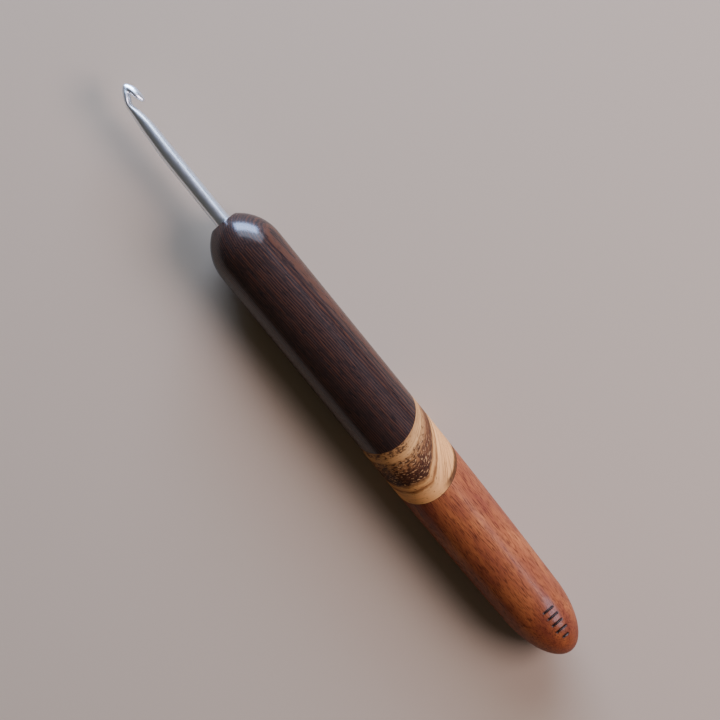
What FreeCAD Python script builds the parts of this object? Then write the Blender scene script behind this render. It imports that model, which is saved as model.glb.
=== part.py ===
"""Crochet hook: a 4.5 mm aluminium hook glued into a turned handle of three woods.

Lengths are millimetres. Every piece is drawn in the tool's own frame: its origin is on the tool's
axis in the handle's front face, +X runs ahead to the hook's tip, +Z is up and the lip points to -Y.
One placement then stands all the pieces on the ground, with the origin under the tool's middle.
"""
import FreeCAD, Part
import math
import os

import Sketcher
from FreeCAD import Placement, Rotation, Vector

# Driving dimensions, kept in the sheet. "behind" counts from the front face towards the tail and
# "ahead" from the same face towards the tip.
SIZES = {
    "handle_length": 150.0,
    "handle_radius": 10.0,
    "rim_radius": 1.2,
    "shoulder_radius": 14.0,
    "shoulder_behind": 11.5,
    "taper_behind": 65.0,
    "tail_behind": 131.0,
    "tail_radius": 9.01,
    "joint_tilt": 39.0,
    "joint_roll": 7.0,
    "front_joint_behind": 68.9,
    "rear_joint_behind": 86.7,
    "glue_thickness": 0.12,
    "hook_reach": 46.3,
    "shank_radius": 2.25,
    "shank_ahead": 20.0,
    "tang_behind": 50.0,
    "tang_chamfer": 0.6,
    "bore_radius": 2.4,
    "bore_behind": 51.0,
    "drill_point": 59.0,
    "tally_radius": 0.3,
    "tally_roll": 14.0,
    "tally_sweep": 24.0,
    "tally_behind": 137.0,
    "tally_pitch": 2.1,
}

FULL_STROKES = 4

# Oval sections of the forged neck and head: place ahead of the front face, rise of the back and
# of the lip side from the axis, and half the thickness from cheek to cheek.
OVAL_SIZES = ("ahead", "back", "lip", "cheek")
OVALS = [
    (20.0, -2.25, 2.25, 2.25),
    (22.0, -2.25, 2.25, 2.25),
    (24.5, -2.17, 2.25, 2.24),
    (27.0, -2.02, 2.26, 2.21),
    (29.5, -1.87, 2.26, 2.16),
    (32.0, -1.71, 2.26, 2.09),
    (34.2, -1.53, 2.30, 2.01),
    (36.0, -1.34, 2.72, 1.95),
    (37.6, -1.16, 3.62, 1.93),
    (39.1, -1.01, 4.38, 1.98),
    (40.6, -0.83, 4.72, 2.07),
    (42.0, -0.50, 4.78, 2.10),
    (43.4, 0.14, 4.60, 1.97),
    (44.7, 0.86, 4.11, 1.61),
    (45.7, 1.56, 3.55, 1.08),
    (46.3, 2.35, 3.02, 0.36),
]

# Corners of the throat's outline: place, rise towards the lip and corner radius. They run along the
# neck, over the swelling at the bottom of the throat to its apex, and back out under the lip.
THROAT_SIZES = ("ahead", "rise", "radius")
THROAT = [
    (32.6, 2.36, 0.0),
    (37.3, 1.76, 4.0),
    (40.0, 1.02, 0.9),
    (41.7, 1.80, 0.7),
    (43.1, 2.24, 0.1),
    (40.3, 2.98, 2.0),
    (38.9, 3.75, 0.3),
    (38.9, 7.00, 0.0),
    (32.6, 7.00, 0.0),
]


def numbered_sizes(prefix, names, rows):
    """Name each number of a list of places, such as oval3_back."""
    return {f"{prefix}{number}_{name}": value
            for number, row in enumerate(rows, start=1) for name, value in zip(names, row)}


def make_sheet(doc):
    """Put the driving dimensions in a spreadsheet, one alias a row."""
    sheet = doc.addObject("Spreadsheet::Sheet", "sheet")
    sizes = SIZES | numbered_sizes("oval", OVAL_SIZES, OVALS) | numbered_sizes("throat", THROAT_SIZES, THROAT)
    for row, (alias, value) in enumerate(sizes.items(), start=1):
        sheet.set(f"A{row}", alias)
        sheet.set(f"B{row}", str(value))
        sheet.setAlias(f"B{row}", alias)
    doc.recompute()


def make_body(doc, label):
    """Start a piece and seat it so that the handle rests on the ground."""
    body = doc.addObject("PartDesign::Body", label)
    body.Label = label
    body.setExpression("Placement.Base.x", "(sheet.handle_length - sheet.hook_reach) / 2")
    body.setExpression("Placement.Base.z", "sheet.handle_radius")
    return body


def add_sketch(body, name, role):
    """Add an empty sketch on one of the body's own origin planes."""
    sketch = body.newObject("Sketcher::SketchObject", name)
    plane = next(item for item in body.Origin.OriginFeatures if item.Role == role)
    sketch.AttachmentSupport = [(plane, "")]
    sketch.MapMode = "FlatFace"
    return sketch


def bind(sketch, kind, where, expression):
    """Add a dimension that starts at its expression's value and stays driven by it."""
    value = float(sketch.evalExpression(expression))
    index = sketch.addConstraint(Sketcher.Constraint(kind, *where, value))
    sketch.setExpression(f"Constraints[{index}]", expression)


def bind_point(sketch, geometry, end, across, up):
    """Drive both coordinates of a point, counted from the sketch's origin."""
    bind(sketch, "DistanceX", (-1, 1, geometry, end), across)
    bind(sketch, "DistanceY", (-1, 1, geometry, end), up)


def draw_outline(sketch, corners):
    """Draw a closed outline of straight lines through corners given as pairs of expressions."""
    points = [Vector(*(float(sketch.evalExpression(text)) for text in corner)) for corner in corners]
    following = points[1:] + points[:1]
    lines = [sketch.addGeometry(Part.LineSegment(*ends)) for ends in zip(points, following)]
    for index, line in enumerate(lines):
        sketch.addConstraint(Sketcher.Constraint("Coincident", line, 1, lines[index - 1], 2))
    for line, corner in zip(lines, corners):
        bind_point(sketch, line, 1, *corner)
    return lines


def circle_arc(centre, radius, start, end):
    """Arc of a circle in the sketch's plane, between two angles in radians."""
    return Part.ArcOfCircle(Part.Circle(centre, Vector(0, 0, 1), radius), start, end)


def draw_turned_profile(sketch):
    """Half outline of the turned handle: face, rim, shoulder, straight grip, taper and oval tail."""
    rim, shoulder, grip = SIZES["rim_radius"], SIZES["shoulder_radius"], SIZES["handle_radius"]
    shoulder_behind, taper_behind = SIZES["shoulder_behind"], SIZES["taper_behind"]
    tail_behind, tail_radius, length = SIZES["tail_behind"], SIZES["tail_radius"], SIZES["handle_length"]
    quarter = math.pi / 2

    # The rim's arc touches the face and the inside of the shoulder's arc.
    rim_rise = math.sqrt((shoulder - rim) ** 2 - (shoulder_behind - rim) ** 2)
    rim_angle = math.atan2(rim_rise, shoulder_behind - rim)
    rim_centre = Vector(-rim, grip - shoulder + rim_rise)
    shoulder_centre = Vector(-shoulder_behind, grip - shoulder)

    # The taper's arc starts level at the grip and runs into the tail's ellipse near its top.
    taper_reach = tail_behind - taper_behind
    taper_radius = taper_reach ** 2 / (2 * (grip - tail_radius))
    taper_angle = math.asin(taper_reach / taper_radius)
    taper_centre = Vector(-taper_behind, grip - taper_radius)
    ellipse = Part.Ellipse(Vector(-tail_behind, 0), length - tail_behind, tail_radius)
    ellipse_start = quarter + math.atan(taper_angle * (length - tail_behind) / tail_radius)

    face = sketch.addGeometry(Part.LineSegment(Vector(0, 0), Vector(0, rim_centre.y)))
    rim_arc = sketch.addGeometry(circle_arc(rim_centre, rim, 0, rim_angle))
    shoulder_arc = sketch.addGeometry(circle_arc(shoulder_centre, shoulder, rim_angle, quarter))
    grip_ends = Vector(-shoulder_behind, grip), Vector(-taper_behind, grip)
    grip_line = sketch.addGeometry(Part.LineSegment(*grip_ends))
    taper = sketch.addGeometry(circle_arc(taper_centre, taper_radius, quarter, quarter + taper_angle))
    tail = sketch.addGeometry(Part.ArcOfEllipse(ellipse, ellipse_start, math.pi))
    axis = sketch.addGeometry(Part.LineSegment(Vector(-length, 0), Vector(0, 0)))
    sketch.exposeInternalGeometry(tail)
    long_axis, short_axis = axis + 1, axis + 2

    sketch.addConstraint([
        Sketcher.Constraint("Coincident", face, 1, -1, 1),
        Sketcher.Constraint("Vertical", face),
        Sketcher.Constraint("Tangent", face, 2, rim_arc, 1),
        Sketcher.Constraint("Tangent", rim_arc, 2, shoulder_arc, 1),
        Sketcher.Constraint("Tangent", shoulder_arc, 2, grip_line, 1),
        Sketcher.Constraint("Horizontal", grip_line),
        Sketcher.Constraint("Tangent", grip_line, 2, taper, 1),
        Sketcher.Constraint("Tangent", taper, 2, tail, 1),
        Sketcher.Constraint("Coincident", tail, 2, axis, 1),
        Sketcher.Constraint("Coincident", axis, 2, face, 1),
        Sketcher.Constraint("Horizontal", axis),
        Sketcher.Constraint("PointOnObject", tail, 3, -1),
        Sketcher.Constraint("Horizontal", long_axis),
    ])
    bind(sketch, "Radius", (rim_arc,), "sheet.rim_radius")
    bind(sketch, "Radius", (shoulder_arc,), "sheet.shoulder_radius")
    bind(sketch, "Distance", (short_axis,), "2 * sheet.tail_radius")
    bind_point(sketch, grip_line, 1, "-sheet.shoulder_behind", "sheet.handle_radius")
    bind(sketch, "DistanceX", (-1, 1, grip_line, 2), "-sheet.taper_behind")
    bind(sketch, "DistanceX", (-1, 1, tail, 3), "-sheet.tail_behind")
    bind(sketch, "DistanceX", (-1, 1, axis, 1), "-sheet.handle_length")


def turn_on_axis(body, kind, name, sketch):
    """Revolve a half outline about the tool's axis, to add or to remove material."""
    feature = body.newObject(f"PartDesign::{kind}", name)
    feature.Profile = sketch
    feature.ReferenceAxis = (sketch, ["H_Axis"])
    feature.Angle = 360
    return feature


def cut_through(body, name, sketch):
    """Cut an outline right through the piece, both ways from the sketch."""
    pocket = body.newObject("PartDesign::Pocket", name)
    pocket.Profile = sketch
    pocket.SideType = "Symmetric"
    pocket.Type = "ThroughAll"


def cut_at_joint(body, name, joint, glue_side, waste_ahead):
    """Saw a section along an oblique joint and drop the waste ahead of it or behind it.

    The joint reaches furthest behind just off the top of the handle, away from the lip's side.
    glue_side is 1 for a cut along the front of the glue line and -1 for one along its back.
    """
    place = f"(-sheet.{joint} + {glue_side} * sheet.glue_thickness / 2)"
    reach = "(sheet.handle_radius + 2)"
    lean = f"{reach} * tan(sheet.joint_tilt * 1deg)"
    far = "(2 * sheet.handle_radius)" if waste_ahead else "(-sheet.handle_length - 2 * sheet.handle_radius)"
    sketch = add_sketch(body, f"{name}_outline", "XZ_Plane")
    sketch.AttachmentOffset = Placement(Vector(), Rotation(Vector(1, 0, 0), -SIZES["joint_roll"]))
    draw_outline(sketch, [
        (f"{place} - {lean}", reach),
        (far, reach),
        (far, f"-{reach}"),
        (f"{place} + {lean}", f"-{reach}"),
    ])
    cut_through(body, name, sketch)


def make_section(doc, label, cuts):
    """Make one length of the turned handle, from the whole profile and its joint cuts."""
    body = make_body(doc, label)
    profile = add_sketch(body, "profile", "XZ_Plane")
    draw_turned_profile(profile)
    turn_on_axis(body, "Revolution", "turning", profile)
    for number, cut in enumerate(cuts, start=1):
        cut_at_joint(body, f"joint_cut{number}", *cut)
    return body


def bore_corners():
    """Half outline of the drilled bore: a straight wall and the cone that the drill's point leaves."""
    point = "(sheet.bore_radius / tan(sheet.drill_point * 1deg))"
    return [
        ("0", "0"),
        (f"-sheet.bore_behind - {point}", "0"),
        ("-sheet.bore_behind", "sheet.bore_radius"),
        ("0", "sheet.bore_radius"),
    ]


def make_front_section(doc):
    """Wenge front of the handle, with the blind bore for the hook's tang."""
    body = make_section(doc, "wenge_front", [("front_joint_behind", 1, False)])
    sketch = add_sketch(body, "bore_outline", "XZ_Plane")
    draw_outline(sketch, bore_corners())
    turn_on_axis(body, "Groove", "tang_bore", sketch)
    return body


def burn_stroke(body, number, sweep):
    """Burn one stroke of the tally across the tail, as a shallow round groove."""
    behind = f"(sheet.tally_behind + {number} * sheet.tally_pitch)"
    fall = f"(({behind} - sheet.tail_behind) / (sheet.handle_length - sheet.tail_behind))"
    rise = f"sheet.tail_radius * sqrt(1 - {fall} * {fall})"
    sketch = add_sketch(body, f"stroke{number + 1}_outline", "XZ_Plane")
    sketch.AttachmentOffset = Placement(Vector(), Rotation(Vector(1, 0, 0), SIZES["tally_roll"]))
    centre = Vector(*(float(sketch.evalExpression(text)) for text in (f"-{behind}", rise)))
    burnt = sketch.addGeometry(Part.Circle(centre, Vector(0, 0, 1), SIZES["tally_radius"]))
    bind_point(sketch, burnt, 3, f"-{behind}", rise)
    bind(sketch, "Radius", (burnt,), "sheet.tally_radius")
    stroke = turn_on_axis(body, "Groove", f"stroke{number + 1}", sketch)
    stroke.setExpression("Angle", sweep)
    stroke.Midplane = True


def make_rear_section(doc):
    """Rear of the handle, with a burnt tally of the hook's size: four strokes and a half stroke."""
    body = make_section(doc, "jatoba_rear", [("rear_joint_behind", -1, True)])
    for number in range(FULL_STROKES):
        burn_stroke(body, number, "sheet.tally_sweep")
    burn_stroke(body, FULL_STROKES, "sheet.tally_sweep / 2")
    return body


def make_tang_glue(doc):
    """Epoxy that fills the bore around the tang and under its end."""
    body = make_body(doc, "tang_glue")
    sketch = add_sketch(body, "sleeve_outline", "XZ_Plane")
    tang_wall = [
        ("0", "sheet.shank_radius"),
        ("-sheet.tang_behind + sheet.tang_chamfer", "sheet.shank_radius"),
        ("-sheet.tang_behind", "sheet.shank_radius - sheet.tang_chamfer"),
        ("-sheet.tang_behind", "0"),
    ]
    draw_outline(sketch, bore_corners()[1:] + tang_wall)
    turn_on_axis(body, "Revolution", "sleeve", sketch)
    return body


def draw_oval(sketch, number):
    """Draw an oval as four quarter arcs, which start at the back on every section of the loft."""
    _, back, lip, cheek = OVALS[number - 1]
    quarter = math.pi / 2
    middle = Vector(-(back + lip) / 2, 0)
    half_rise = (lip - back) / 2
    if half_rise == cheek:
        arc_of, oval, first_angle = Part.ArcOfCircle, Part.Circle(middle, Vector(0, 0, 1), cheek), 0
    elif half_rise > cheek:
        arc_of, oval, first_angle = Part.ArcOfEllipse, Part.Ellipse(middle, half_rise, cheek), 0
    else:
        cheek_point, lip_point = middle + Vector(0, cheek), middle - Vector(half_rise, 0)
        arc_of, oval, first_angle = Part.ArcOfEllipse, Part.Ellipse(cheek_point, lip_point, middle), -quarter
    starts = [first_angle + step * quarter for step in range(4)]
    arcs = [sketch.addGeometry(arc_of(oval, start, start + quarter)) for start in starts]

    prefix = f"sheet.oval{number}"
    centre = f"-({prefix}_back + {prefix}_lip) / 2"
    corners = [
        (f"-{prefix}_back", "0"),
        (centre, f"{prefix}_cheek"),
        (f"-{prefix}_lip", "0"),
        (centre, f"-{prefix}_cheek"),
    ]
    for index, (arc, corner) in enumerate(zip(arcs, corners)):
        sketch.addConstraint(Sketcher.Constraint("Coincident", arc, 1, arcs[index - 1], 2))
        bind_point(sketch, arc, 1, *corner)


def make_rod(body):
    """Turn the plain rod: the tang inside the handle and the shank up to the forged neck."""
    rod = add_sketch(body, "rod_outline", "XZ_Plane")
    draw_outline(rod, [
        ("-sheet.tang_behind", "0"),
        ("sheet.shank_ahead", "0"),
        ("sheet.shank_ahead", "sheet.shank_radius"),
        ("-sheet.tang_behind + sheet.tang_chamfer", "sheet.shank_radius"),
        ("-sheet.tang_behind", "sheet.shank_radius - sheet.tang_chamfer"),
    ])
    turn_on_axis(body, "Revolution", "rod", rod)


def forge_head(doc, body):
    """Loft the neck and head through their oval sections."""
    sections = []
    for number in range(1, len(OVALS) + 1):
        section = add_sketch(body, f"oval{number}", "YZ_Plane")
        section.setExpression("AttachmentOffset.Base.z", f"sheet.oval{number}_ahead")
        draw_oval(section, number)
        sections.append(section)
    doc.recompute()
    head = body.newObject("PartDesign::AdditiveLoft", "head")
    head.Profile = sections[0]
    head.Sections = sections[1:]
    doc.recompute()


def mill_throat(body):
    """Mill the throat from cheek to cheek."""
    throat = add_sketch(body, "throat_outline", "XY_Plane")
    names = [f"sheet.throat{number}" for number in range(1, len(THROAT) + 1)]
    lines = draw_outline(throat, [(f"{name}_ahead", f"-{name}_rise") for name in names])
    for line, (_, _, radius) in zip(lines, THROAT):
        if radius:
            throat.fillet(line, 1, radius, True, True)
    cut_through(body, "throat", throat)


def make_hook(doc):
    """One-piece hook: tang and shank of rod, forged neck and head, and the milled throat."""
    body = make_body(doc, "hook")
    make_rod(body)
    forge_head(doc, body)
    mill_throat(body)
    return body


def check_model(doc, bodies):
    """Stop on a failed object or a bad shape."""
    for item in doc.Objects:
        if "Invalid" in item.State or "Error" in item.State:
            raise RuntimeError(f"{item.Label} did not recompute: {item.State}")
    for body in bodies:
        if body.Shape.isNull() or not body.Shape.isValid() or len(body.Shape.Solids) != 1:
            raise RuntimeError(f"{body.Label} is not one valid solid")
        box = body.Shape.BoundBox
        print(f"{body.Label}: {body.Shape.Volume:.1f} mm3, x {box.XMin:.2f} to {box.XMax:.2f}")


def main():
    """Build every piece and write it to parts/."""
    doc = FreeCAD.newDocument("crochet_hook")
    make_sheet(doc)
    front, rear = "front_joint_behind", "rear_joint_behind"
    bodies = [
        make_hook(doc),
        make_tang_glue(doc),
        make_front_section(doc),
        make_section(doc, "front_joint_glue", [(front, 1, True), (front, -1, False)]),
        make_section(doc, "zebrano_band", [(front, -1, True), (rear, 1, False)]),
        make_section(doc, "rear_joint_glue", [(rear, 1, True), (rear, -1, False)]),
        make_rear_section(doc),
    ]
    doc.recompute()
    check_model(doc, bodies)
    os.makedirs("parts", exist_ok=True)
    for body in bodies:
        body.Shape.exportStep(f"parts/{body.Label}.step")


main()
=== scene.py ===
"""Looks of a crochet hook: an aluminium hook in a turned handle of wenge, zebrano and jatoba.

Sizes are millimetres in the tool's own frame: "behind" counts from the handle's front face towards
the tail, "ahead" from the same face towards the tip, and the lip points to -Y. Blender's own units
are metres, and the CAD frame says where the front face and the axis are.
"""
import logging
import math
from dataclasses import astuple, dataclass
from enum import Enum
from typing import Any, Sequence

import bpy
import numpy as np
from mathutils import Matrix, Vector

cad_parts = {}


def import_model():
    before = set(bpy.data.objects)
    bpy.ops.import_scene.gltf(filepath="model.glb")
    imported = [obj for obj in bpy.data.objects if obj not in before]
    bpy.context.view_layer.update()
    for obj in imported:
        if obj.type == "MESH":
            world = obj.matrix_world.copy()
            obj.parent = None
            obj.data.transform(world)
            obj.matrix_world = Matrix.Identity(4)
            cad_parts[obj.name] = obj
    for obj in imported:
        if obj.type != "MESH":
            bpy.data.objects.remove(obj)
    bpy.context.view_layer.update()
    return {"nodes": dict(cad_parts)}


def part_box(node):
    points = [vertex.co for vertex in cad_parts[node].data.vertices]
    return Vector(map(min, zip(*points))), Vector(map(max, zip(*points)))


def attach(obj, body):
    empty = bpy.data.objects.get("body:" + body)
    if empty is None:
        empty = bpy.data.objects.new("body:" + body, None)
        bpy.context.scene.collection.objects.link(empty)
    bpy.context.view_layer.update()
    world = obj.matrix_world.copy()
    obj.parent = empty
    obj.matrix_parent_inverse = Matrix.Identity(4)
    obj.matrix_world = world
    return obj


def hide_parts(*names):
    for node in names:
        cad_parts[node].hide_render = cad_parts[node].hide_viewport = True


LOG = logging.getLogger("crochet_hook")
MM = 0.001
SOFT = {"interpolation_type": "SMOOTHSTEP"}
Tree = bpy.types.NodeTree
Node = bpy.types.Node
Source = Node | bpy.types.NodeSocket


def linear(code: str) -> tuple[float, float, float, float]:
    """Turn an sRGB hex colour into linear light.

    Args:
        code: the colour as "#rrggbb".

    Returns:
        Red, green, blue and a full alpha.
    """
    parts = [int(code[place:place + 2], 16) / 255 for place in (1, 3, 5)]
    light = [part / 12.92 if part <= 0.04045 else ((part + 0.055) / 1.055) ** 2.4 for part in parts]
    return light[0], light[1], light[2], 1.0


def add_node(tree: Tree, kind: str, inputs: dict | Sequence | None = None, **settings: Any) -> Node:
    """Add a node with its settings and links.

    Args:
        tree: the shader or geometry tree.
        kind: the node's type name.
        inputs: values, sockets or nodes, by input name or index or in the order of the inputs;
            a node stands for its first output.
        settings: the node's own properties.

    Returns:
        The new node.
    """
    node = tree.nodes.new(kind)
    for name, value in settings.items():
        setattr(node, name, value)
    pairs = inputs.items() if isinstance(inputs, dict) else enumerate(inputs or ())
    for key, value in pairs:
        if isinstance(value, Node):
            value = value.outputs[0]
        if isinstance(value, bpy.types.NodeSocket):
            tree.links.new(value, node.inputs[key])
        else:
            node.inputs[key].default_value = value
    return node


def stand(thing: bpy.types.Object) -> bpy.types.Object:
    """Link a new object to the scene and return it."""
    bpy.context.scene.collection.objects.link(thing)
    return thing


@dataclass(frozen=True)
class Seat:
    """Where the tool lies in the frame, in metres."""

    front_face: float
    axis_height: float
    handle_length: float

    @classmethod
    def from_frame(cls) -> "Seat":
        """Read the seat from the CAD nodes' boxes."""
        low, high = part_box("tang_glue")
        return cls(high.x, (low.z + high.z) / 2, high.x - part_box("jatoba_rear")[0].x)


# -------- finishes --------


class Finish:
    """A procedural material, built once and shared by the pieces that wear it."""

    name: str
    slot: str

    def dress(self, tree: Tree, seat: Seat) -> Node:
        """Build the shader and return it; each finish has its own."""
        raise NotImplementedError

    def build(self, seat: Seat) -> bpy.types.Material:
        """Make the material.

        Args:
            seat: where the tool lies, for patterns that follow its axis.

        Returns:
            The finished material.
        """
        material = bpy.data.materials.new(self.name)
        material.use_nodes = True
        tree = material.node_tree
        tree.nodes.clear()
        shader = self.dress(tree, seat)
        add_node(tree, "ShaderNodeOutputMaterial", [shader])
        return material


def tool_millimetres(tree: Tree, seat: Seat) -> Node:
    """Object coordinates in millimetres, counted from the front face on the axis.

    Args:
        tree: the material's tree.
        seat: where the tool lies.

    Returns:
        The node that gives them, with x ahead, y away from the lip and z up.
    """
    place = add_node(tree, "ShaderNodeTexCoord").outputs["Object"]
    origin = (-seat.front_face / MM, 0.0, -seat.axis_height / MM)
    return add_node(tree, "ShaderNodeVectorMath", [place, (1 / MM,) * 3, origin],
                    operation="MULTIPLY_ADD")


def grain_noise(tree: Tree, board: Source, size: tuple[float, float, float],
                detail: float = 2.0, offset: float = 0.0,
                rise: tuple[float, float] | None = None, most: float = 1.0) -> Node:
    """Noise whose features have a real size along each axis of the board.

    Args:
        tree: the material's tree.
        board: coordinates in millimetres, x along the grain.
        size: length, width and thickness of a feature in millimetres.
        detail: octaves of finer noise.
        offset: moves the pattern, so that two noises of one size differ.
        rise: where given, only flecks such as pores are left: the noise where a fleck starts,
            and where it is full.
        most: what the middle of a fleck gives.

    Returns:
        The node that gives the noise, about 0.5 on average, or the flecks.
    """
    place = add_node(tree, "ShaderNodeMapping", {
        "Vector": board, "Scale": tuple(1 / length for length in size),
        "Location": (offset, offset * 0.7, -offset)})
    noise = add_node(tree, "ShaderNodeTexNoise", {
        "Vector": place, "Scale": 1.0, "Detail": detail, "Roughness": 0.55})
    if rise is None:
        return noise
    return add_node(tree, "ShaderNodeMapRange", {
        "Value": noise, "From Min": rise[0], "From Max": rise[1], "To Max": most}, **SOFT)


def set_stops(ramp: Node, stops: Sequence[tuple[float, str]]) -> None:
    """Give a colour ramp its stops.

    Args:
        ramp: the ramp node, as it was added.
        stops: place and sRGB colour of each stop, from low to high.
    """
    elements = ramp.color_ramp.elements
    elements.remove(elements[1])
    elements[0].position, elements[0].color = stops[0][0], linear(stops[0][1])
    for place, code in stops[1:]:
        elements.new(place).color = linear(code)


@dataclass(frozen=True)
class Lacquer:
    """Hand-rubbed oil lacquer over wood: the wood's own dull sheen under a thin smooth film."""

    roughness: float = 0.6
    specular: float = 0.05
    coat: float = 0.35
    coat_roughness: float = 0.15

    def over(self, tree: Tree, colour: Source, height: Source, depth_mm: float,
             roughness: Source | None = None) -> Node:
        """Cover a wood's colour and relief with the lacquer.

        Args:
            tree: the material's tree.
            colour: the wood's colour.
            height: the relief of pores and grain, 0 to 1.
            depth_mm: how deep the relief is.
            roughness: a varied roughness, where the wood has one.

        Returns:
            The shader node.
        """
        bump = add_node(tree, "ShaderNodeBump", {
            "Height": height, "Strength": 1.0, "Distance": depth_mm * MM})
        return add_node(tree, "ShaderNodeBsdfPrincipled", {
            "Base Color": colour, "Roughness": self.roughness if roughness is None else roughness,
            "Specular IOR Level": self.specular, "Coat Weight": self.coat,
            "Coat Roughness": self.coat_roughness, "Normal": bump})


@dataclass(frozen=True)
class Wenge(Finish):
    """Wenge, turned and lacquered.

    To the eye: near-black wood ruled with fine brown lines along the handle, which widen into a
    reddish flat band where the growth planes lie level with the surface.
    """

    name: str = "lacquered_wenge"
    slot: str = "wenge"
    growth_turn: float = 58.0
    drift: float = -0.4
    twist_per_mm: float = 0.28
    line_spacing: float = 0.58
    line_phase: float = 0.1
    wander: float = 1.3
    ripple: float = 0.55
    ragged: float = 0.8
    uneven: float = 0.14
    line_edge: tuple[float, float] = (0.62, 1.0)
    flat_band: tuple[float, float] = (8.9, 9.7)
    flat_light: float = 0.3
    pore_rise: tuple[float, float] = (0.56, 0.68)
    relief_mm: float = 0.06
    darkest: str = "#1a100d"
    dark: str = "#2a1b17"
    brown: str = "#3b251a"
    reddish: str = "#472718"
    lacquer: Lacquer = Lacquer(coat=0.8, coat_roughness=0.2)

    def dress(self, tree: Tree, seat: Seat) -> Node:
        """Rule the growth lines through the block and lacquer it."""
        tool = tool_millimetres(tree, seat)
        ahead = add_node(tree, "ShaderNodeSeparateXYZ", [tool]).outputs[0]
        twist, start = math.radians(self.twist_per_mm), -math.radians(self.growth_turn)
        turn = add_node(tree, "ShaderNodeMath", [ahead, twist, start], operation="MULTIPLY_ADD")
        turned = add_node(tree, "ShaderNodeVectorRotate", {"Vector": tool, "Angle": turn},
                          rotation_type="X_AXIS")
        board = add_node(tree, "ShaderNodeMapping", {
            "Vector": turned, "Rotation": (0.0, math.radians(self.drift), 0.0)})
        across = add_node(tree, "ShaderNodeSeparateXYZ", [board]).outputs[2]

        # Wavy lines, each of its own width and colour.
        lines = self.line_phase
        for part, weight in (
                (grain_noise(tree, board, (30.0, 4.0, 4.0), detail=2.5), self.wander),
                (grain_noise(tree, board, (5.0, 1.2, 1.2), offset=4.0), self.ripple),
                (across, 1 / self.line_spacing)):
            lines = add_node(tree, "ShaderNodeMath", [part, weight, lines],
                             operation="MULTIPLY_ADD")
        wave = add_node(tree, "ShaderNodeMath", [lines, 0.5], operation="PINGPONG")
        number = add_node(tree, "ShaderNodeMath", [lines], operation="FLOOR")
        chance = add_node(tree, "ShaderNodeTexWhiteNoise", {"W": number}, noise_dimensions="1D")

        # Their edges are frayed, and where the growth planes lie level they run together.
        fibre = grain_noise(tree, board, (4.0, 0.26, 0.26), detail=3.0)
        level = add_node(tree, "ShaderNodeMapRange", {
            "Value": across, "From Min": self.flat_band[0], "From Max": self.flat_band[1],
            "To Max": self.flat_light}, **SOFT)
        fray = wave
        for part, weight in ((fibre, self.ragged), (chance, self.uneven), (level, 1.0)):
            fray = add_node(tree, "ShaderNodeMath", [part, weight, fray], operation="MULTIPLY_ADD")
        band = add_node(tree, "ShaderNodeMapRange", {
            "Value": fray, "From Min": self.line_edge[0], "From Max": self.line_edge[1]}, **SOFT)

        wood, light = (
            add_node(tree, "ShaderNodeMix", {"Factor": share, 6: linear(low), 7: linear(high)},
                     data_type="RGBA").outputs[2]
            for share, low, high in (
                (fibre, self.darkest, self.dark), (chance, self.brown, self.reddish)))
        pores = grain_noise(tree, board, (3.0, 0.24, 0.24), 1.0, 7.0, self.pore_rise)
        for share, colour in ((band, light), (pores, linear(self.darkest))):
            wood = add_node(tree, "ShaderNodeMix", {"Factor": share, 6: wood, 7: colour},
                            data_type="RGBA").outputs[2]
        relief = add_node(tree, "ShaderNodeMath", [band, pores], operation="SUBTRACT")
        return self.lacquer.over(tree, wood, relief, self.relief_mm)


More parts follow.
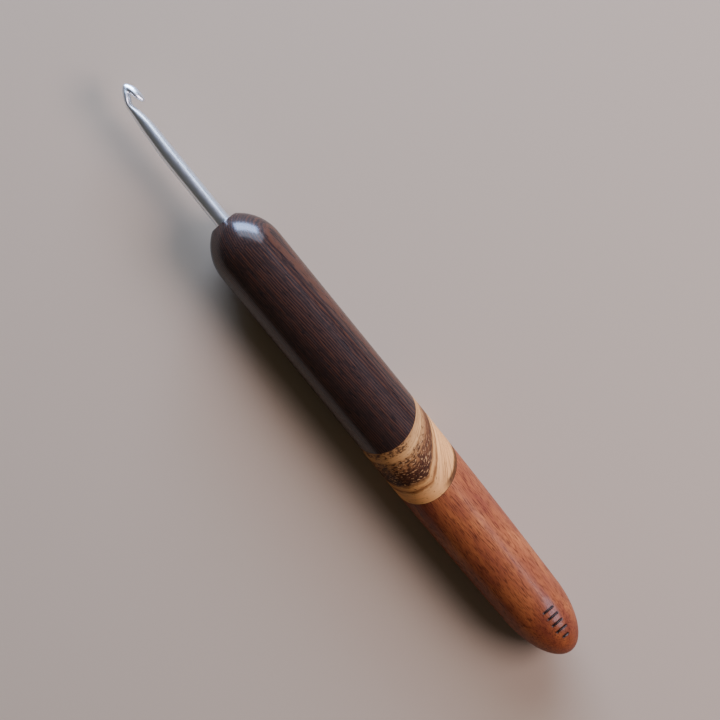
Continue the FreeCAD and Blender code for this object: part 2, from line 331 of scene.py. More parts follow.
@dataclass(frozen=True)
class Zebrano(Finish):
    """Zebrano laid crosswise between the two oblique joints, lacquered.

    To the eye: cream wood crossed by a broad speckled brown band and a few thin brown lines.
    Places of stripes and runs are millimetres behind the front joint; the lip's side has negative
    sideways places.
    """

    name: str = "lacquered_zebrano"
    slot: str = "zebrano"
    joint_behind: float = 68.9
    joint_slope: float = 0.81
    joint_roll: float = 7.0
    width: float = 17.8
    narrowing: float = 0.05
    stripes: tuple[tuple[float, str], ...] = (
        (0.0, "#9c6e41"), (2.2, "#ba864f"), (3.2, "#c48f56"), (4.1, "#a07041"), (6.4, "#885a35"),
        (7.6, "#55321f"), (10.8, "#43281a"), (11.6, "#8c5e35"), (12.2, "#cd9253"),
        (12.9, "#be824a"), (13.3, "#80502b"), (13.7, "#a26c3b"), (14.2, "#d2965a"),
        (15.6, "#dd9c5c"), (17.8, "#d39355"))
    bend: float = 1.8
    fringe: float = 1.5
    edge_run: tuple[float, float] = (16.1, 20.5)
    edge_blur: float = 0.8
    edge_line: str = "#4e2f18"
    streak_rise: tuple[float, float] = (0.46, 0.6)
    streak_share: float = 0.12
    lip_streaks: float = 0.4
    streak: str = "#6e4422"
    joint_run: tuple[float, float] = (-1.0, 2.4)
    joint_blur: float = 0.5
    band_run: tuple[float, float] = (3.2, 11.9)
    band_blur: float = 1.2
    crowding: float = 0.19
    speck_rise: tuple[float, float] = (0.60, 0.78)
    speck_most: float = 0.85
    speck_dark: str = "#3a2217"
    pale_rise: tuple[float, float] = (0.55, 0.70)
    pale_most: float = 0.8
    speck_pale: str = "#c2915e"
    relief_mm: float = 0.025
    lacquer: Lacquer = Lacquer(coat=0.2, coat_roughness=0.2)

    def between(self, tree: Tree, place: Source, run: tuple[float, float],
                blur: float) -> Node:
        """Mark a run of the stripes.

        Args:
            tree: the material's tree.
            place: millimetres from the front joint.
            run: where it starts and ends.
            blur: how wide its soft edges are.

        Returns:
            The node that gives one inside the run and zero outside it.
        """
        start, end = run
        rise = add_node(tree, "ShaderNodeMapRange", {
            "Value": place, "From Min": start, "From Max": start + blur}, **SOFT)
        fall = add_node(tree, "ShaderNodeMapRange", {
            "Value": place, "From Min": end - blur, "From Max": end, "To Min": 1.0, "To Max": 0.0},
            **SOFT)
        return add_node(tree, "ShaderNodeMath", [rise, fall], operation="MULTIPLY")

    def dress(self, tree: Tree, seat: Seat) -> Node:
        """Lay the stripes side by side from the front joint and speckle them."""
        tool = tool_millimetres(tree, seat)
        roll = math.radians(self.joint_roll)
        lean = (-1.0, -self.joint_slope * math.sin(roll), -self.joint_slope * math.cos(roll))
        depth = add_node(tree, "ShaderNodeVectorMath", [tool, lean],
                         operation="DOT_PRODUCT").outputs[1]
        depth = add_node(tree, "ShaderNodeMath", [depth, self.joint_behind], operation="SUBTRACT")
        sideways, height = add_node(tree, "ShaderNodeSeparateXYZ", [tool]).outputs[1:3]
        lip_side = add_node(tree, "ShaderNodeMath", [sideways, 0.0], operation="MINIMUM")
        squeeze = add_node(tree, "ShaderNodeMath", [lip_side, self.narrowing, 1.0],
                           operation="MULTIPLY_ADD")
        stripe = add_node(tree, "ShaderNodeMath", [depth, squeeze], operation="DIVIDE")

        # The stripes bend a little and have frayed edges.
        flow = add_node(tree, "ShaderNodeCombineXYZ", [stripe, sideways, height])
        bend = grain_noise(tree, flow, (6.0, 5.0, 5.0))
        bend = add_node(tree, "ShaderNodeMath", [bend, self.bend, -self.bend / 2],
                        operation="MULTIPLY_ADD")
        fine = grain_noise(tree, flow, (0.5, 2.2, 2.2), detail=3.0)
        fine = add_node(tree, "ShaderNodeMath", [fine, self.fringe, -self.fringe / 2],
                        operation="MULTIPLY_ADD")
        place = add_node(tree, "ShaderNodeMath", [stripe, bend], operation="ADD")
        place = add_node(tree, "ShaderNodeMath", [place, fine], operation="ADD")
        share = add_node(tree, "ShaderNodeMath", [place, self.width], operation="DIVIDE")
        ramp = add_node(tree, "ShaderNodeValToRGB", [share])
        set_stops(ramp, [(start / self.width, code) for start, code in self.stripes])

        # On the lip's side a brown line runs along the rear joint.
        near_lip = add_node(tree, "ShaderNodeMapRange", {
            "Value": sideways, "From Min": -0.5, "From Max": -4.0}, **SOFT)
        at_rear = add_node(tree, "ShaderNodeMath", [depth, fine], operation="ADD")
        at_rear = self.between(tree, at_rear, self.edge_run, self.edge_blur)
        at_rear = add_node(tree, "ShaderNodeMath", [at_rear, near_lip], operation="MULTIPLY")

        # Fine long streaks run with the stripes, mostly on the lip's side.
        streaks = grain_noise(tree, flow, (0.5, 9.0, 9.0), 3.0, 17.0, self.streak_rise)
        streaked = add_node(tree, "ShaderNodeMath", [near_lip, self.lip_streaks, self.streak_share],
                            operation="MULTIPLY_ADD")
        streaks = add_node(tree, "ShaderNodeMath", [streaks, streaked], operation="MULTIPLY")

        # Dark specks crowd in the broad band and, but for the lip's side, next to the front joint.
        at_joint = self.between(tree, stripe, self.joint_run, self.joint_blur)
        far_side = add_node(tree, "ShaderNodeMapRange", {
            "Value": sideways, "From Min": -3.5, "From Max": 0.5}, **SOFT)
        at_joint = add_node(tree, "ShaderNodeMath", [at_joint, far_side], operation="MULTIPLY")
        in_band = self.between(tree, place, self.band_run, self.band_blur)
        speckled = add_node(tree, "ShaderNodeMapRange", {
            "Value": sideways, "From Min": -7.5, "From Max": -3.0, "To Min": 0.3})
        in_band = add_node(tree, "ShaderNodeMath", [in_band, speckled], operation="MULTIPLY")
        crowd = add_node(tree, "ShaderNodeMath", [at_joint, in_band], operation="MAXIMUM")
        specks = grain_noise(tree, flow, (0.5, 1.1, 1.1), offset=11.0)
        specks = add_node(tree, "ShaderNodeMath", [crowd, self.crowding, specks],
                          operation="MULTIPLY_ADD")
        specks = add_node(tree, "ShaderNodeMapRange", {
            "Value": specks, "From Min": self.speck_rise[0], "From Max": self.speck_rise[1],
            "To Max": self.speck_most}, **SOFT)
        pale = grain_noise(tree, flow, (0.38, 0.9, 0.9), 1.5, 3.0, self.pale_rise,
                           self.pale_most)
        pale = add_node(tree, "ShaderNodeMath", [pale, in_band], operation="MULTIPLY")

        wood = ramp
        for share, code in ((at_rear, self.edge_line), (streaks, self.streak),
                            (specks, self.speck_dark), (pale, self.speck_pale)):
            wood = add_node(tree, "ShaderNodeMix", {"Factor": share, 6: wood, 7: linear(code)},
                            data_type="RGBA").outputs[2]
        relief = add_node(tree, "ShaderNodeMath", [1.0, specks], operation="SUBTRACT")
        return self.lacquer.over(tree, wood, relief, self.relief_mm)


@dataclass(frozen=True)
class Jatoba(Finish):
    """Jatoba, turned and lacquered, with burnt strokes.

    To the eye: warm red-brown wood with a soft mottle and short dark pore dashes along the handle,
    with painted light that makes the lip's side, towards the window light, a little lighter.
    """

    name: str = "lacquered_jatoba"
    slot: str = "jatoba"
    growth_turn: float = 24.0
    drift: float = 1.5
    shades: tuple[tuple[float, str], ...] = (
        (0.20, "#642a1d"), (0.38, "#793d27"), (0.56, "#8e4d2b"), (0.78, "#ab6436"))
    lowest_shade: float = -0.24
    broad: float = 0.75
    mottle: float = 0.35
    fibre: float = 0.35
    # Painted light: how much lighter the lip's side, facing the window light, is painted.
    lip_side_painted_light: float = 0.04
    pore_rise: tuple[float, float] = (0.49, 0.66)
    pore_most: float = 0.75
    pore: str = "#471e10"
    burnt: str = "#120a08"
    burnt_roughness: float = 0.8
    relief_mm: float = 0.03
    lacquer: Lacquer = Lacquer(coat=0.4, coat_roughness=0.26)

    def dress(self, tree: Tree, seat: Seat) -> Node:
        """Stack mottle, fibres, painted light on the lip's side, pores and the burnt strokes, then
        lacquer the wood.
        """
        tool = tool_millimetres(tree, seat)
        turn = (math.radians(self.growth_turn), 0.0, math.radians(self.drift))
        board = add_node(tree, "ShaderNodeMapping", {"Vector": tool, "Rotation": turn})
        sideways = add_node(tree, "ShaderNodeSeparateXYZ", [tool]).outputs[1]
        # Painted light: the wood's shade is raised a little towards the lip's side, where the
        # window light falls.
        lip_side = add_node(tree, "ShaderNodeMapRange", {
            "Value": sideways, "From Min": 4.0, "From Max": -8.0, "To Max": self.lip_side_painted_light}, **SOFT)
        shade = self.lowest_shade
        for part, weight in (
                (grain_noise(tree, board, (16.0, 5.5, 5.5), offset=2.0), self.broad),
                (grain_noise(tree, board, (4.5, 1.1, 1.1), detail=3.0), self.mottle),
                (grain_noise(tree, board, (3.2, 0.3, 0.3), detail=3.0), self.fibre),
                (lip_side, 1.0)):
            shade = add_node(tree, "ShaderNodeMath", [part, weight, shade],
                             operation="MULTIPLY_ADD")
        wood = add_node(tree, "ShaderNodeValToRGB", [shade])
        set_stops(wood, self.shades)

        pores = grain_noise(tree, board, (2.4, 0.22, 0.22), 1.5, 5.0, self.pore_rise,
                            self.pore_most)
        burn = add_node(tree, "ShaderNodeAttribute", attribute_name="burn",
                        attribute_type="GEOMETRY").outputs[2]
        for share, code in ((pores, self.pore), (burn, self.burnt)):
            wood = add_node(tree, "ShaderNodeMix", {"Factor": share, 6: wood, 7: linear(code)},
                            data_type="RGBA").outputs[2]
        relief = add_node(tree, "ShaderNodeMath", [1.0, pores], operation="SUBTRACT")
        rough = add_node(tree, "ShaderNodeMapRange", {
            "Value": burn, "To Min": self.lacquer.roughness, "To Max": self.burnt_roughness})
        return self.lacquer.over(tree, wood, relief, self.relief_mm, rough)


@dataclass(frozen=True)
class Aluminium(Finish):
    """Bare aluminium, forged and tumbled to a satin shine.

    To the eye: cool pale metal with soft, slightly cloudy reflections and no brushed direction.
    """

    name: str = "satin_aluminium"
    slot: str = "aluminium"
    colour: str = "#e9f1f7"
    smoothest: float = 0.29
    roughest: float = 0.34
    dimple_mm: float = 0.002

    def dress(self, tree: Tree, seat: Seat) -> Node:
        """Cloud the metal's sheen and give it the tumbler's faint dimples."""
        tool = tool_millimetres(tree, seat)
        cloud = grain_noise(tree, tool, (3.0, 1.2, 1.2), detail=3.0)
        rough = add_node(tree, "ShaderNodeMapRange", {
            "Value": cloud, "From Min": 0.3, "From Max": 0.7,
            "To Min": self.smoothest, "To Max": self.roughest})
        dimple = grain_noise(tree, tool, (0.5, 0.25, 0.25))
        bump = add_node(tree, "ShaderNodeBump", {
            "Height": dimple, "Strength": 1.0, "Distance": self.dimple_mm * MM})
        return add_node(tree, "ShaderNodeBsdfPrincipled", {
            "Base Color": linear(self.colour), "Metallic": 1.0, "Roughness": rough,
            "Normal": bump})


@dataclass(frozen=True)
class GlueLine(Finish):
    """Cured wood glue, sanded flush: a thin dark line between two woods."""

    name: str = "cured_wood_glue"
    slot: str = "wood_glue"
    colour: str = "#2a1710"
    paler: str = "#4d3021"
    relief_mm: float = 0.01

    def dress(self, tree: Tree, seat: Seat) -> Node:
        """Vary the line's darkness a little along its way round the handle."""
        tool = tool_millimetres(tree, seat)
        patch = grain_noise(tree, tool, (1.5, 1.5, 1.5))
        colour = add_node(tree, "ShaderNodeMix", {
            "Factor": patch, 6: linear(self.colour), 7: linear(self.paler)},
            data_type="RGBA").outputs[2]
        return Lacquer(roughness=0.35).over(tree, colour, patch, self.relief_mm)


@dataclass(frozen=True)
class EpoxyWithPaintedShade(Finish):
    """Epoxy in the bore, of which only a thin ring shows round the shank; its dark brown is partly
    painted shade, for the shadow where the shank enters the handle.
    """

    name: str = "epoxy_with_painted_shade"
    slot: str = "epoxy"
    # These dark browns are partly painted shade: the ring stands for the shadow at the bore's
    # mouth.
    colour: str = "#3c2a1a"
    paler: str = "#5b4128"
    roughness: float = 0.25

    def dress(self, tree: Tree, seat: Seat) -> Node:
        """Cloud the resin slightly, with a smooth skin."""
        tool = tool_millimetres(tree, seat)
        cloud = grain_noise(tree, tool, (2.0, 2.0, 2.0))
        colour = add_node(tree, "ShaderNodeMix", {
            "Factor": cloud, 6: linear(self.colour), 7: linear(self.paler)},
            data_type="RGBA").outputs[2]
        return add_node(tree, "ShaderNodeBsdfPrincipled", {
            "Base Color": colour, "Roughness": self.roughness})


# -------- handle --------


class Lathe:
    """Geometry Nodes that turn an outline into a closed solid about the tool's axis.

    The outline is a mesh of points, one a row: x is the place behind the front face, y the radius
    and z the share of the oblique joint's lean that the row takes. Burnt strokes are cut into the
    solid, and a scorched rim round each is wider than its cut.
    """

    INPUTS = {
        "NodeSocketInt": ("Columns", "Stroke Count"),
        "NodeSocketFloat": (
            "Crowding", "Crowd Turn", "Joint Slope", "Joint Roll", "Front Face", "Axis Height",
            "First Stroke", "Stroke Pitch", "Stroke Reach", "Stroke Radius", "Stroke Depth"),
        "NodeSocketMaterial": ("Material",),
    }
    LAST_STROKE_CUT = 0.5
    SCORCH_WIDTH = 1.5
    SCORCH_DARKNESS = 1.6
    WELD_MM = 0.0005
    SHARP_DEGREES = 32.0

    def __init__(self) -> None:
        """Build the tree once for all the sections."""
        self.tree = bpy.data.node_groups.new("turned_section", "GeometryNodeTree")
        face = self.tree.interface
        face.new_socket(name="Geometry", in_out="INPUT", socket_type="NodeSocketGeometry")
        for kind, names in self.INPUTS.items():
            for name in names:
                face.new_socket(name=name, in_out="INPUT", socket_type=kind)
        face.new_socket(name="Geometry", in_out="OUTPUT", socket_type="NodeSocketGeometry")
        self.given = add_node(self.tree, "NodeGroupInput").outputs
        self._wire()

    def _wire(self) -> None:
        """Grid, outline look-up, burnt strokes, placing, welding and finish."""
        tree, given = self.tree, self.given
        rows = add_node(tree, "GeometryNodeAttributeDomainSize", [given["Geometry"]])
        around = add_node(tree, "ShaderNodeMath", [given["Columns"], 1.0], operation="ADD")
        grid = add_node(tree, "GeometryNodeMeshGrid", {"Vertices X": rows, "Vertices Y": around})
        index = add_node(tree, "GeometryNodeInputIndex")
        row = add_node(tree, "ShaderNodeMath", [index, around], operation="DIVIDE")
        row = add_node(tree, "ShaderNodeMath", [row], operation="FLOOR")
        column = add_node(tree, "ShaderNodeMath", [index, around], operation="MODULO")
        place = add_node(tree, "GeometryNodeInputPosition")
        outline = add_node(tree, "GeometryNodeSampleIndex", {
            "Geometry": given["Geometry"], "Value": place, "Index": row}, data_type="FLOAT_VECTOR")
        behind, radius, lean = add_node(tree, "ShaderNodeSeparateXYZ", [outline]).outputs

        known = {"column": column, "behind": behind, "radius": radius, "lean": lean}
        for result, operation, *terms in (
                # Half a turn one way to half a turn the other, crowded at the strokes.
                ("share", "DIVIDE", "column", "Columns"),
                ("even", "MULTIPLY_ADD", "share", math.tau, -math.pi),
                ("swell", "SINE", "even"),
                ("pull", "MULTIPLY", "swell", "Crowding"),
                ("offset", "SUBTRACT", "even", "pull"),
                ("turn", "ADD", "offset", "Crowd Turn"),
                ("sine", "SINE", "turn"),
                ("cosine", "COSINE", "turn"),
                # The oblique joint takes its rows further behind towards its own top.
                ("from top", "SUBTRACT", "turn", "Joint Roll"),
                ("height", "COSINE", "from top"),
                ("reach", "MULTIPLY", "height", "radius"),
                ("reach", "MULTIPLY", "reach", "lean"),
                ("behind", "MULTIPLY_ADD", "reach", "Joint Slope", "behind"),
                # Distance along and round from the nearest stroke; the last one is half as long.
                ("along", "SUBTRACT", "behind", "First Stroke"),
                ("ratio", "DIVIDE", "along", "Stroke Pitch"),
                ("last", "SUBTRACT", "Stroke Count", 1.0),
                ("nearest", "ROUND", "ratio"),
                ("nearest", "MAXIMUM", "nearest", 0.0),
                ("nearest", "MINIMUM", "nearest", "last"),
                ("aside", "SUBTRACT", "ratio", "nearest"),
                ("aside", "MULTIPLY", "aside", "Stroke Pitch"),
                ("is last", "COMPARE", "nearest", "last", 0.1),
                ("part", "MULTIPLY_ADD", "is last", -self.LAST_STROKE_CUT, 1.0),
                ("length", "MULTIPLY", "part", "Stroke Reach"),
                ("round", "ABSOLUTE", "offset"),
                ("round", "MULTIPLY", "round", "radius"),
                ("beyond", "SUBTRACT", "round", "length"),
                ("beyond", "MAXIMUM", "beyond", 0.0)):
            inputs = [known.get(term) or given[term] if isinstance(term, str) else term
                      for term in terms]
            known[result] = add_node(tree, "ShaderNodeMath", inputs, operation=operation)

        # The strokes are sunk, and scorched a little wider than they are sunk.
        depth, stroke_radius = given["Stroke Depth"], given["Stroke Radius"]
        apart = add_node(tree, "ShaderNodeCombineXYZ", [known["aside"], known["beyond"]])
        apart = add_node(tree, "ShaderNodeVectorMath", [apart], operation="LENGTH").outputs[1]
        groove = add_node(tree, "ShaderNodeMapRange", {
            "Value": apart, "From Max": stroke_radius, "To Min": 1.0, "To Max": 0.0}, **SOFT)
        sunk = add_node(tree, "ShaderNodeMath", [groove, depth], operation="MULTIPLY")
        radius = add_node(tree, "ShaderNodeMath", [radius, sunk], operation="SUBTRACT")
        scorch = add_node(tree, "ShaderNodeMath", [stroke_radius, self.SCORCH_WIDTH],
                          operation="MULTIPLY")
        scorch = add_node(tree, "ShaderNodeMapRange", {
            "Value": apart, "From Max": scorch, "To Min": self.SCORCH_DARKNESS, "To Max": 0.0})
        burnt = add_node(tree, "ShaderNodeMath", [depth, 0.0], operation="GREATER_THAN")
        burn = add_node(tree, "ShaderNodeMath", [scorch, burnt], operation="MULTIPLY",
                        use_clamp=True)

        ahead = add_node(tree, "ShaderNodeMath", [given["Front Face"], known["behind"]],
                         operation="SUBTRACT")
        aside = add_node(tree, "ShaderNodeMath", [known["sine"], radius], operation="MULTIPLY")
        up = add_node(tree, "ShaderNodeMath", [known["cosine"], radius, given["Axis Height"]],
                      operation="MULTIPLY_ADD")
        point = add_node(tree, "ShaderNodeCombineXYZ", [ahead, aside, up])
        placed = add_node(tree, "GeometryNodeSetPosition", {"Geometry": grid, "Position": point})
        marked = add_node(tree, "GeometryNodeStoreNamedAttribute", {
            "Geometry": placed, "Name": "burn", "Value": burn}, data_type="FLOAT", domain="POINT")
        welded = add_node(tree, "GeometryNodeMergeByDistance", {
            "Geometry": marked, "Distance": self.WELD_MM * MM})
        bend = add_node(tree, "GeometryNodeInputMeshEdgeAngle")
        soft = add_node(tree, "ShaderNodeMath", [bend, math.radians(self.SHARP_DEGREES)],
                        operation="LESS_THAN")
        dressed = welded
        for shade, domain in ((True, "FACE"), (soft, "EDGE")):
            dressed = add_node(tree, "GeometryNodeSetShadeSmooth", {
                "Geometry": dressed, "Shade Smooth": shade}, domain=domain)
        real = add_node(tree, "GeometryNodeRealizeInstances", [dressed])
        dressed = add_node(tree, "GeometryNodeSetMaterial", {
            "Geometry": real, "Material": given["Material"]})
        add_node(tree, "NodeGroupOutput", [dressed])

    def turn(self, name: str, outline: list[Vector], sizes: dict[str, Any]) -> bpy.types.Object:
        """Turn one solid.

        Args:
            name: the piece's name.
            outline: the rows, in metres.
            sizes: values of the tree's inputs by name.

        Returns:
            A plain mesh object with no modifier.
        """
        mesh = bpy.data.meshes.new(name + "_outline")
        mesh.from_pydata(outline, [(row, row + 1) for row in range(len(outline) - 1)], [])
        blank = stand(bpy.data.objects.new(name + "_blank", mesh))
        modifier = blank.modifiers.new("lathe", "NODES")
        modifier.node_group = self.tree
        for item in self.tree.interface.items_tree:
            if item.in_out == "INPUT" and item.name in sizes:
                modifier[item.identifier] = sizes[item.name]
        graph = bpy.context.evaluated_depsgraph_get()
        solid = bpy.data.meshes.new_from_object(blank.evaluated_get(graph), depsgraph=graph)
        solid.name = name
        piece = stand(bpy.data.objects.new(name, solid))
        bpy.data.objects.remove(blank)
        return piece


class Section(Enum):
    """The solids that the turned handle is made of, from its front face to its tail."""

    FRONT = "wenge_front"
    FRONT_GLUE = "front_joint_glue"
    BAND = "zebrano_band"
    REAR_GLUE = "rear_joint_glue"
    REAR = "jatoba_rear"


@dataclass
class TurnedHandle:
    """The handle: three woods glued up on oblique joints, then turned and lacquered as one."""

    seat: Seat
    radius: float = 10.0
    rim_radius: float = 1.2
    shoulder_radius: float = 14.0
    shoulder_behind: float = 11.5
    taper_behind: float = 65.0
    tail_behind: float = 131.0
    tail_radius: float = 9.01
    joint_tilt: float = 39.0
    joint_roll: float = 7.0
    front_joint: float = 68.9
    rear_joint: float = 86.7
    glue_thickness: float = 0.12
    bore_radius: float = 2.4
    bore_behind: float = 51.0
    drill_point: float = 59.0
    lean_reach: float = 26.0
    columns: int = 176
    rim_rows: int = 14
    shoulder_rows: int = 40
    shoulder_end: float = 0.12
    grip_rows: int = 90
    glue_rows: int = 2
    band_rows: int = 30
    rear_rows: int = 380
    mouth_depth: float = 0.4
    tally_crowding: float = 0.55
    tally_roll: float = 14.0
    tally_behind: float = 137.0
    tally_pitch: float = 2.1
    tally_count: int = 5
    tally_reach: float = 1.55
    tally_radius: float = 0.38
    tally_depth: float = 0.14

    @property
    def length(self) -> float:
        """The handle's length in millimetres."""
        return self.seat.handle_length / MM

    @property
    def rim_legs(self) -> tuple[float, float]:
        """From the rim arc's centre to the shoulder arc's: along the axis, and in all."""
        return self.shoulder_behind - self.rim_radius, self.shoulder_radius - self.rim_radius

    @property
    def rim_rise(self) -> float:
        """Height of the rim arc's centre above the shoulder arc's centre."""
        inner, outer = self.rim_legs
        return math.sqrt(outer ** 2 - inner ** 2)

    def radius_at(self, behind: float) -> float:
        """Radius of the turned surface.

        Args:
            behind: place behind the front face.

        Returns:
            The radius there, zero at the tail's end.
        """
        shoulder_centre = self.radius - self.shoulder_radius
        inner, outer = self.rim_legs
        rim_end = self.rim_radius - self.rim_radius * inner / outer
        if behind < rim_end:
            drop = self.rim_radius - behind
            rise = math.sqrt(max(self.rim_radius ** 2 - drop ** 2, 0.0))
            return shoulder_centre + self.rim_rise + rise
        if behind < self.shoulder_behind:
            drop = self.shoulder_behind - behind
            return shoulder_centre + math.sqrt(self.shoulder_radius ** 2 - drop ** 2)
        if behind < self.taper_behind:
            return self.radius
        along = (behind - self.taper_behind) / (self.tail_behind - self.taper_behind)
        taper = self.radius - (self.radius - self.tail_radius) * along ** 2
        fall = (behind - self.tail_behind) / (self.length - self.tail_behind)
        oval = self.tail_radius * math.sqrt(max(1 - max(fall, 0.0) ** 2, 0.0))
        return min(taper, oval) if fall > 0 else taper

    def rows(self, places: Sequence[float], joint: float) -> list[Vector]:
        """Rows of the turned surface, whose lean fades with the distance from a joint.

        Args:
            places: places behind the front face, towards the front.
            joint: the place where the lean is full.

        Returns:
            The outline's rows, in metres.
        """
        found = []
        for behind in places:
            fade = min(abs(behind - joint) / self.lean_reach, 1.0)
            lean = 1 - fade * fade * (3 - 2 * fade)
            found.append(Vector((behind * MM, self.radius_at(behind) * MM, lean)))
        return found

    def joint_end(self, joint: float, glue_side: int) -> Vector:
        """The axis point of a joint's face, as the first or last row of an outline."""
        return Vector(((joint + glue_side * self.glue_thickness / 2) * MM, 0.0, 1.0))

    def outline(self, section: Section) -> list[Vector]:
        """Rows of one section, from its tail end to its front end.

        Args:
            section: which solid.

        Returns:
            The rows, in metres.
        """
        half = self.glue_thickness / 2
        front, rear = self.front_joint, self.rear_joint
        if section is Section.FRONT:
            quarter = math.pi / 2
            rim = self.rim_radius * (1 - np.cos(np.linspace(quarter, 0, self.rim_rows)))
            bends = np.linspace(quarter, self.shoulder_end, self.shoulder_rows)
            shoulder = self.shoulder_behind * np.sin(bends)
            grip = np.linspace(front - half, self.shoulder_behind, self.grip_rows)
            places = [*grip, *shoulder[1:], *(place for place in rim if place < shoulder[-1])]
            bore = self.bore_radius
            point = self.bore_behind + bore / math.tan(math.radians(self.drill_point))
            inside = [(0.0, bore), (self.mouth_depth, bore), (self.bore_behind, bore), (point, 0.0)]
            hole = [Vector((behind * MM, radius * MM, 0.0)) for behind, radius in inside]
            return [self.joint_end(front, -1), *self.rows(places, front - half), *hole]
        if section is Section.REAR:
            reach = self.length - rear - half
            bends = np.linspace(math.pi / 2, 0, self.rear_rows)
            places = self.length - reach * (1 - np.sin(bends))
            return [*self.rows(places, rear + half), self.joint_end(rear, 1)]
        ends = {
            Section.FRONT_GLUE: (front, 1, front, -1, self.glue_rows),
            Section.BAND: (rear, -1, front, 1, self.band_rows),
            Section.REAR_GLUE: (rear, 1, rear, -1, self.glue_rows),
        }
        tail_joint, tail_side, front_joint, front_side, count = ends[section]
        places = np.linspace(tail_joint + tail_side * half, front_joint + front_side * half, count)
        full = [Vector((behind * MM, self.radius_at(behind) * MM, 1.0)) for behind in places]
        return [self.joint_end(tail_joint, tail_side), *full,
                self.joint_end(front_joint, front_side)]

    def build(self, lathe: Lathe, section: Section,
              material: bpy.types.Material) -> bpy.types.Object:
        """Turn and dress one section.

        Args:
            lathe: the shared tree.
            section: which solid.
            material: its finish.

        Returns:
            The finished piece.
        """
        burnt = section is Section.REAR
        sizes = {
            "Columns": self.columns, "Crowding": self.tally_crowding if burnt else 0.0,
            "Crowd Turn": math.radians(-self.tally_roll),
            "Joint Slope": math.tan(math.radians(self.joint_tilt)),
            "Joint Roll": math.radians(self.joint_roll),
            "Front Face": self.seat.front_face, "Axis Height": self.seat.axis_height,
            "First Stroke": self.tally_behind * MM, "Stroke Pitch": self.tally_pitch * MM,
            "Stroke Count": self.tally_count, "Stroke Reach": self.tally_reach * MM,
            "Stroke Radius": self.tally_radius * MM,
            "Stroke Depth": self.tally_depth * MM if burnt else 0.0, "Material": material}
        return lathe.turn(section.value + "_piece", self.outline(section), sizes)


# -------- hook --------


@dataclass(frozen=True)
class Ring:
    """A cross-section of the forged hook in its own plane through the throat side and the back.

    Places are "ahead" of the front face and "rise" from the axis towards the lip. The crest is how
    far the thickest place lies from the middle, towards the throat side, as a share of the half.
    """

    throat_ahead: float
    throat_rise: float
    back_ahead: float
    back_rise: float
    cheek: float
    crest: float = 0.0


